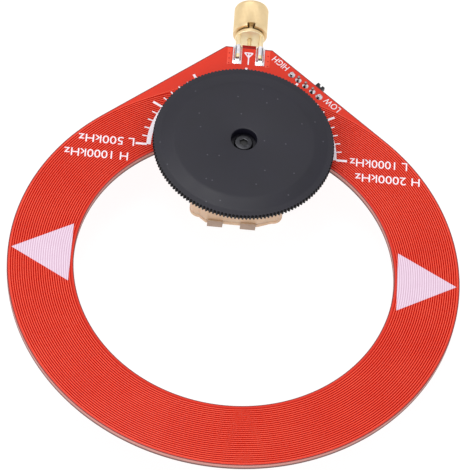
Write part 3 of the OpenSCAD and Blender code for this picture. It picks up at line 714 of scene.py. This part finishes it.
def vias():
    """Earth copper under the mask beside the plug's pads, tented holes, and a lip of painted
    shade.
    """
    bm = bmesh.new()
    patch = block((3.85, -14.3, TOP - SUNK), (4.95, -9.5, TOP + 0.04), 0.02)
    join(bm, patch, Matrix.Identity(4), Matrix.Diagonal((-1, 1, 1, 1)))
    well = [(0, TOP + 0.05), (0.14, TOP + 0.047), (0.22, TOP + 0.038), (0, TOP + 0.03)]
    spots = [(side * 4.5, y) for side in (-1, 1) for y in (-11.0, -12.5, -13.9)]
    spots.append((LEAD_X, LEAD_Y + RING_Y))
    join(bm, lathe(well, 20, finish=1), *(Matrix.Translation((x, y, 0)) for x, y in spots))
    # A dark red lip beyond the board's edge between the legs: painted shade under the plug's
    # disc.
    lip = block((-1.62, TIP_Y - 0.05, 0.47), (1.62, -8.3, 0.79), 0.08, finish=2)
    join(bm, lip)
    piece(bm, "tented_vias", "board", [mask_track, mask_hole, lip_shade_red])


# The plug

def plug_shell():
    """Gold body of the plug: flange, neck, shoulder, nose and four legs."""
    bm = lathe([
        (0.66, -6.05), (3.26, -6.05), (FLANGE_R, -5.93), (FLANGE_R, -5.27), (3.26, -5.15),
        (2.5, -5.15), (2.5, -3.8), (3.0, -3.8), (3.1, -3.7), (3.1, -2.7), (3.0, -2.6),
        (2.475, -2.6), (2.475, -2.0), (2.286, -2.0), (2.286, -0.12), (2.2, 0), (2.07, 0),
        (2.07, -5.4), (0.95, -5.4), (0.95, -6.01), (0.66, -6.01),
    ], 96)
    # The flange's back face takes the paler plate, a painted reflection of the floor.
    flange_back = -5.99
    for face in bm.faces:
        face.material_index = 2 if face.calc_center_median().z < flange_back else 0
    bm.transform(ALONG_PLUG)
    round_top = [
        (FLANGE_R * sin(a), FLANGE_R * cos(a)) for a in map(radians, (67.6, 63.5, 60.0, 56.9))
    ]
    length, wet_from, wet_to = 6.9, 0.95, 3.6
    leg = plate(
        [(LEG_IN, LEG_FOOT), (LEG_OUT, LEG_FOOT)] + round_top + [(LEG_IN, 1.85)], length, 0.08,
    )
    leg.transform(Matrix.Translation((0, 0, length)))
    stand = Matrix.Translation((0, LEG_END, 0)) @ ALONG_PLUG
    for height in (wet_from, wet_to):
        bmesh.ops.bisect_plane(
            leg, geom=leg.verts[:] + leg.edges[:] + leg.faces[:], dist=1e-5,
            plane_co=(0, 0, height), plane_no=(0, 0, 1),
        )
    # A leg's end face takes the dull tab brass: painted shade on the ends.
    for face in leg.faces:
        height = face.calc_center_median().z
        face.material_index = 4 if height < 0.01 else 1 if wet_from < height < wet_to else 3
    join(bm, leg, *(mirror @ stand for mirror in LEG_MIRRORS))
    piece(
        bm, "plug_shell", "board",
        [gold, solder, gold_painted_pale, gold_painted_deeper, tab_brass], ["plug_body"],
    )


def plug_core():
    """White insulator with its small rear collar, the gasket behind the nose, and the pin."""
    insulator = lathe([
        (0.655, -6.0), (0.93, -6.0), (0.93, -5.38), (2.05, -5.38), (2.05, -0.02), (0.655, -0.02),
    ], 64)
    gasket = lathe([
        (2.495, -2.58), (2.77, -2.58), (2.85, -2.5), (2.85, -2.1), (2.77, -2.02), (2.495, -2.02),
    ], 64)
    pin = lathe([
        (0, TIP_Y), (0.38, TIP_Y), (0.45, -8.98), (0.45, -6.1), (0.635, -6.05), (0.635, 0),
        (0.455, 0), (0.455, 1.35), (0.4, 1.6), (0.3, 1.78), (0.16, 1.88), (0, 1.9),
    ], 32, closed=False)
    for bm, name, slot, finish, node in (
        (insulator, "insulator_core", "white_insulator", ptfe, "plug_insulator"),
        (gasket, "rubber_gasket", "gasket_rubber", rubber, "plug_gasket"),
        (pin, "centre_pin", "gold_plate", gold_painted_deeper, "plug_pin"),
    ):
        piece(bm, name, "board", [finish], [node], ALONG_PLUG)


def split_lathe(section, gap, at, steps=96):
    """Spins a section nearly a full turn, with a gap at the top, measured at a radius."""
    bm = bmesh.new()
    face = bm.faces.new([bm.verts.new((r, 0, z)) for r, z in section])
    opening = 2 * asin(gap / 2 / at)
    bmesh.ops.spin(
        bm, geom=[face], cent=(0, 0, 0), axis=(0, 0, 1), dvec=(0, 0, 0),
        angle=2 * pi - opening, steps=steps,
    )
    bmesh.ops.recalc_face_normals(bm, faces=bm.faces)
    bm.transform(Matrix.Rotation(opening / 2 - pi / 2, 4, "Z"))
    return bm


def knurled_nut():
    """Round coupling nut: fine straight knurl, notched rear lip and a thread in its mouth."""
    grips, back, low, high, valley_share = 80, -3.88, -3.7, 1.95, 0.983
    bm = lathe([
        (3.15, back), (NUT_R, back), (NUT_R, low - 0.08), (NUT_R, low), (NUT_R, high),
        (NUT_R, high + 0.12), (NUT_R, 2.45), (3.86, 2.72), (3.6, 2.85), (3.12, 2.85),
        (2.97, 2.7), (2.97, -2.3), (3.15, -2.3),
    ], 2 * grips)
    valley = []
    for v in bm.verts:
        if v.co.xy.length > 3.9 and low - 0.01 < v.co.z < high + 0.01:
            if round(v.co.xy.angle_signed(Vector((1, 0))) * grips / pi) % 2:
                valley.append(v)
    bmesh.ops.scale(bm, vec=(valley_share, valley_share, 1), verts=valley)
    ridge = bmesh.new()
    tooth = [(3.0, -0.3), (2.88, -0.05), (2.88, 0.05), (3.0, 0.3)]
    face = ridge.faces.new([ridge.verts.new((r, 0, z)) for r, z in tooth])
    turns, pitch, steps = 6, 0.7056, 48
    bmesh.ops.spin(
        ridge, geom=[face], cent=(0, 0, 0), axis=(0, 0, 1), dvec=(0, 0, pitch / steps),
        angle=2 * pi * turns, steps=turns * steps,
    )
    bmesh.ops.recalc_face_normals(ridge, faces=ridge.faces)
    join(bm, ridge, Matrix.Translation((0, 0, -1.9)))
    lip = [
        (3.15, -4.85), (3.78, -4.85), (3.92, -4.8), (NUT_R, -4.66), (NUT_R, back),
        (3.52, back), (3.52, -4.35), (3.15, -4.35),
    ]
    join(bm, split_lathe(lip, gap=1.7, at=3.6, steps=2 * grips))
    piece(bm, "knurled_nut", "nut", [gold], ["coupling_nut"], ALONG_PLUG, sharp=24)


def split_ring():
    """Spring ring between the nut and the plug's neck, split at the top."""
    section = [(2.6, -4.35), (3.44, -4.35), (3.5, -4.29), (3.5, -3.96), (3.44, -3.9), (2.6, -3.9)]
    piece(
        split_lathe(section, gap=1.0, at=3.05), "split_ring", "nut",
        [spring_bronze], ["snap_ring"], ALONG_PLUG,
    )


def pad_solder():
    """Tinned pads with solder drawn up the sides and round the end of each leg."""
    bm = bmesh.new()
    upright = Matrix.Rotation(pi / 2, 4, "X")
    pad_end, pad_low, pad_high, foot = -13.95, 0.79, 0.9, 0.88
    drawn_up = [(0, 0), (0.5, 0), (0.34, 0.12), (0.22, 0.36), (0.12, 0.7), (0, 0.8)]
    fillet = plate(drawn_up, 3.9, finish=1)
    fillet.transform(upright)
    toe = plate([(0, 0), (0.55, 0), (0.3, 0.07), (0, 0.16)], LEG_OUT - LEG_IN)
    toe.transform(upright)
    sides, ends = [], []
    for mirror in LEG_MIRRORS:
        for edge, way in ((LEG_OUT, 1), (LEG_IN, -1)):
            beside = Matrix.Translation((edge, -12.95, foot))
            sides.append(mirror @ beside @ Matrix.Diagonal((way, 1, 1, 1)))
        before = Matrix.Translation((LEG_IN, LEG_END, foot))
        ends.append(mirror @ before @ Matrix.Rotation(-pi / 2, 4, "Z"))
    join(bm, fillet, *sides)
    join(bm, toe, *ends)
    join(bm, block((1.6, pad_end, pad_low), (3.7, TIP_Y, pad_high), 0.04), *LEG_MIRRORS)
    join(bm, block((-0.9, pad_end, -pad_high), (0.9, TIP_Y, -pad_low), 0.04))
    piece(
        bm, "tinned_pads", "board", [solder, solder_mirror], ["plug_pads", "leg_solder"],
    )


# The tuning knob and its screw

def thumb_knob():
    """Dished black knob with 152 fine teeth round its rim and a sunk middle."""
    teeth, tip, root, crown = 152, 20.5, 20.1, 20.29
    bm = lathe([
        (1.35, 3.77), (2.95, 3.77), (2.95, 5.8), (2.99, 5.92), (3.1, 5.98), (3.25, 6.0),
        (15.5, 6.0), (15.9, 5.985), (16.3, 5.93), (18.75, 5.28), (18.95, 5.23), (19.2, 5.2),
        (20.2, 5.19), (20.42, 5.17), (tip, 5.08), (tip, 3.82), (20.38, 3.7), (19.3, 3.7),
        (19.3, 4.0), (16.0, 4.8), (4.2, 4.8), (4.2, 1.3), (3.02, 1.3), (3.02, 3.2), (1.35, 3.2),
    ], 4 * teeth)
    for v in bm.verts:
        if v.co.xy.length > root:
            if round(v.co.xy.angle_signed(Vector((1, 0))) * 2 * teeth / pi) % 4 in (2, 3):
                v.co.xy *= (crown if v.co.z > 5 else root) / tip
    # The toothed side takes the blacker finish, painted shade on the teeth.
    side_in, side_out, side_low, side_high = 19.9, 20.4, 3.71, 5.16
    for face in bm.faces:
        middle = face.calc_center_median()
        toothed = side_in < middle.xy.length < side_out and side_low < middle.z < side_high
        face.material_index = int(toothed)
    piece(
        bm, "thumb_knob", "tuner", [knob_abs, teeth_abs_shaded], ["tuning_knob"],
        AT_TUNER,
    )


def knob_bolt():
    """Black screw with a rounded head and a six-sided socket."""
    end, floor, top, socket, brim = -0.2, 3.77, 4.87, 4.3, 0.07
    bm = lathe([
        (1.25, end), (1.25, floor), (2.15, floor), (2.15, 4.5), (2.08, 4.7), (1.94, 4.82),
        (1.78, top),
    ], 48, closed=False)
    rim = [e for e in bm.edges if all(abs(v.co.z - top) < 1e-4 for v in e.verts)]
    hexagon = bmesh.ops.create_circle(bm, cap_ends=False, radius=1.04, segments=6)["verts"]
    bmesh.ops.translate(bm, vec=(0, 0, top), verts=hexagon)
    sides = [e for e in bm.edges if all(v in hexagon for v in e.verts)]
    bmesh.ops.triangle_fill(bm, use_beauty=True, edges=rim + sides, normal=(0, 0, 1))
    # The socket's walls and floor take the black finish, painted shade; its brim the bright grey.
    for drop, narrow, finish in ((-brim, 0.94, 2), (socket - top + brim, 1.0, 1)):
        wall = bmesh.ops.extrude_edge_only(bm, edges=sides)["geom"]
        down = [v for v in wall if isinstance(v, bmesh.types.BMVert)]
        sides = [e for e in wall if isinstance(e, bmesh.types.BMEdge)]
        bmesh.ops.translate(bm, vec=(0, 0, drop), verts=down)
        bmesh.ops.scale(bm, vec=(narrow, narrow, 1), verts=down)
        for face in (f for f in wall if isinstance(f, bmesh.types.BMFace)):
            face.material_index = finish
    for face in bmesh.ops.contextual_create(bm, geom=sides)["faces"]:
        face.material_index = 1
    foot = [e for e in bm.edges if all(abs(v.co.z - end) < 1e-4 for v in e.verts)]
    bmesh.ops.contextual_create(bm, geom=foot)
    bmesh.ops.recalc_face_normals(bm, faces=bm.faces)
    piece(
        bm, "knob_bolt", "tuner", [black_steel, socket_shade, bright_brim_steel],
        ["knob_screw"], AT_TUNER,
    )


# The tuning capacitor under the board

def capacitor_case():
    """Tan case and cover: a soft square with a sill at the front, and staked pegs below."""
    half, corner, sill = 10.6, 2.2, 1.3
    reach = half - corner
    outline = [(-8.35, -half), (-6.75, -half - sill), (5.05, -half - sill), (8.3, -half)]
    for x, y, start in ((1, -1, -90), (1, 1, 0), (-1, 1, 90), (-1, -1, 180)):
        for step in range(9):
            a = radians(start + 11.25 * step)
            outline.append((x * reach + corner * cos(a), y * reach + corner * sin(a)))
    for name, low, high, node in (
        ("capacitor_case", -9.98, BACK, "tuner_case"),
        ("capacitor_cover", -11.2, -10.02, "tuner_cover"),
    ):
        bm = plate(outline, high - low)
        bmesh.ops.translate(bm, vec=(0, 0, high), verts=bm.verts)
        ends = [
            e for e in bm.edges
            if abs(e.verts[0].co.z - e.verts[1].co.z) < 1e-4 and e.calc_face_angle(0) > 1
        ]
        round_edges(bm, ends, 0.22, segments=3)
        if node == "tuner_cover":
            foot, end, peg_at = -11.15, -11.5, 8.3
            peg = lathe([
                (0, foot), (0.85, foot), (0.85, -11.35), (0.7, -11.45), (0, end),
            ], 24, closed=False)
            join(bm, peg, *(
                Matrix.Translation((x * peg_at, y * peg_at, 0)) for x in (1, -1) for y in (1, -1)
            ))
            boss = lathe([
                (0, foot), (1.5, foot), (1.5, -11.4), (1.3, end), (0.5, end), (0.4, -11.4),
                (0, -11.4),
            ], 32, closed=False)
            join(bm, boss)
        else:
            collar = lathe([
                (3.52, BACK - 0.1), (3.9, BACK - 0.1), (3.9, 0.1), (3.8, 0.2), (3.52, 0.2),
            ], 48)
            join(bm, collar)
        bmesh.ops.recalc_face_normals(bm, faces=bm.faces)
        piece(bm, name, "board", [tan_case], [node], AT_TUNER)


# The band switch

def switch_joints():
    """Solder drawn up round the switch's pins and lugs."""
    bm = bmesh.new()
    for places, base, neck, height in (
        ((-2.2, 0, 2.2), 0.78, 0.34, 0.62), ((-4.33, 4.33), 0.86, 0.46, 0.6),
    ):
        drawn_up = lathe([
            (0, TOP - SUNK), (base, TOP - SUNK), (base, TOP + 0.03), (0.86 * base, TOP + 0.12),
            (0.66 * base, TOP + 0.26), (neck * 1.1, TOP + 0.8 * height),
            (neck * 0.7, TOP + height), (0, TOP + 1.04 * height),
        ], 28, closed=False)
        join(bm, drawn_up, *(Matrix.Translation((x, 0, 0)) for x in places))
    piece(
        bm, "switch_joints", "board", [solder_mirror], ["switch_solder"], AT_SWITCH,
        sharp=60,
    )


printed_board()
winding()
dial_print()
pointer_print()
vias()
plug_shell()
plug_core()
knurled_nut()
split_ring()
pad_solder()
thumb_knob()
knob_bolt()
capacitor_case()
switch_joints()

# CAD nodes whose shape is right but for their sharp edges.
for node, name, body, slot, finishes, width in (
    # The tabs' upward faces take the case's tan: a painted reflection of the case on them.
    ("stator_tab", "tab_of_stator", "board", "bare_brass", [tab_brass, tan_case], 0.05),
    ("rotor_tab", "tab_of_rotor", "board", "bare_brass", [tab_brass, tan_case], 0.05),
    ("switch_frame", "switch_cage", "board", "bright_steel", [nickel], 0.08),
    ("switch_slider", "switch_lever", "slider", "black_plastic", [acetal], 0.08),
    ("switch_base", "switch_floor", "board", "brown_laminate", [phenolic], 0.05),
    ("switch_pins", "switch_blades", "board", "tin", [pin_tin], 0.06),
):
    softened(node, name, body, finishes, width)

# CAD nodes that stay take their own finish.
for node, finish in (
    ("pin_solder", solder), ("tuner_bush", brass), ("tuner_shaft", brass),
    ("rotor_plates", plates), ("stator_plates", plates), ("tuner_screws", black_steel),
    ("trimmer_left", brass), ("trimmer_right", brass), ("switch_contact", brass),
):
    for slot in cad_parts[node].material_slots:
        slot.material = finish


# Floor, light and camera

def studio():
    """Pale floor under the capacitor, a white tent, a soft box above and a key at the left."""
    middle = Vector((0, -0.06, 0))
    floor_z = -0.0128
    bm = bmesh.new()
    bmesh.ops.create_grid(bm, x_segments=2, y_segments=2, size=3.0)
    bmesh.ops.translate(bm, vec=middle + Vector((0, 0, floor_z)), verts=bm.verts)
    mesh = bpy.data.meshes.new("floor")
    bm.to_mesh(mesh)
    bm.free()
    floor = bpy.data.objects.new("floor", mesh)
    scene.collection.objects.link(floor)
    paper = bpy.data.materials.new("white_paper")
    paper.use_nodes = True
    shader = paper.node_tree.nodes["Principled BSDF"]
    shader.inputs["Base Color"].default_value = linear("#707070")
    shader.inputs["Roughness"].default_value = 0.9
    shader.inputs["Emission Color"].default_value = linear("#FFFFFF")
    shader.inputs["Emission Strength"].default_value = 0.9
    mesh.materials.append(paper)
    world = bpy.data.worlds.new("studio")
    world.use_nodes = True
    tent = world.node_tree.nodes["Background"]
    tent.inputs["Strength"].default_value = 0.9
    # The tent's opening for the lens, which the bright metal shows as a darker patch.
    towards = add(world, "ShaderNodeTexCoord").outputs["Generated"]
    off = add(world, "ShaderNodeVectorMath", {
        0: towards, 1: (0.03, -0.83, 0.55),
    }, operation="DISTANCE")
    fade = add(world, "ShaderNodeMapRange", {
        "Value": off.outputs["Value"], "From Min": 0.2, "From Max": 0.36,
    })
    cloth = add(world, "ShaderNodeMix", {
        "Factor": fade.outputs["Result"], "A": linear("#38383C"), "B": linear("#F8F8FC"),
    }, data_type="RGBA")
    world.node_tree.links.new(cloth.outputs["Result"], tent.inputs["Color"])
    scene.world = world
    for name, at, size, power in (
        ("soft_box", (-0.18, 0.11, 0.9), 0.45, 2.3),
        ("left_key", (-0.48, -0.83, 0.42), 0.5, 2.5),
    ):
        data = bpy.data.lights.new(name, "AREA")
        data.size = size
        data.energy = power
        lamp = bpy.data.objects.new(name, data)
        lamp.location = at
        lamp.rotation_euler = (middle - Vector(at)).to_track_quat("-Z", "Y").to_euler()
        scene.collection.objects.link(lamp)


def photo_camera():
    """Camera fitted to the photograph: long lens, 56 degrees above the board, rolled."""
    lift, yaw, roll = radians(55.6556), radians(-3.5914), radians(8.2528)
    distance, focal_px, image_px = 0.663064, 2988.56, 470
    aim = Vector((-0.0003465, -0.0616243, 0.0008))
    back = Vector((sin(yaw) * cos(lift), -cos(yaw) * cos(lift), sin(lift)))
    right = (-back).cross(Vector((0, 0, 1))).normalized()
    up = right.cross(-back)
    across = cos(roll) * right + sin(roll) * up
    upward = cos(roll) * up - sin(roll) * right
    data = bpy.data.cameras.new("photo_camera")
    data.sensor_fit = "HORIZONTAL"
    data.sensor_width = 36.0
    data.lens = data.sensor_width * focal_px / image_px
    data.clip_start = 0.05
    camera = bpy.data.objects.new("photo_camera", data)
    turned = Matrix((across, upward, back)).transposed().to_4x4()
    camera.matrix_world = Matrix.Translation(aim + distance * back) @ turned
    scene.collection.objects.link(camera)
    scene.camera = camera


studio()
photo_camera()
scene.view_settings.view_transform = "Standard"
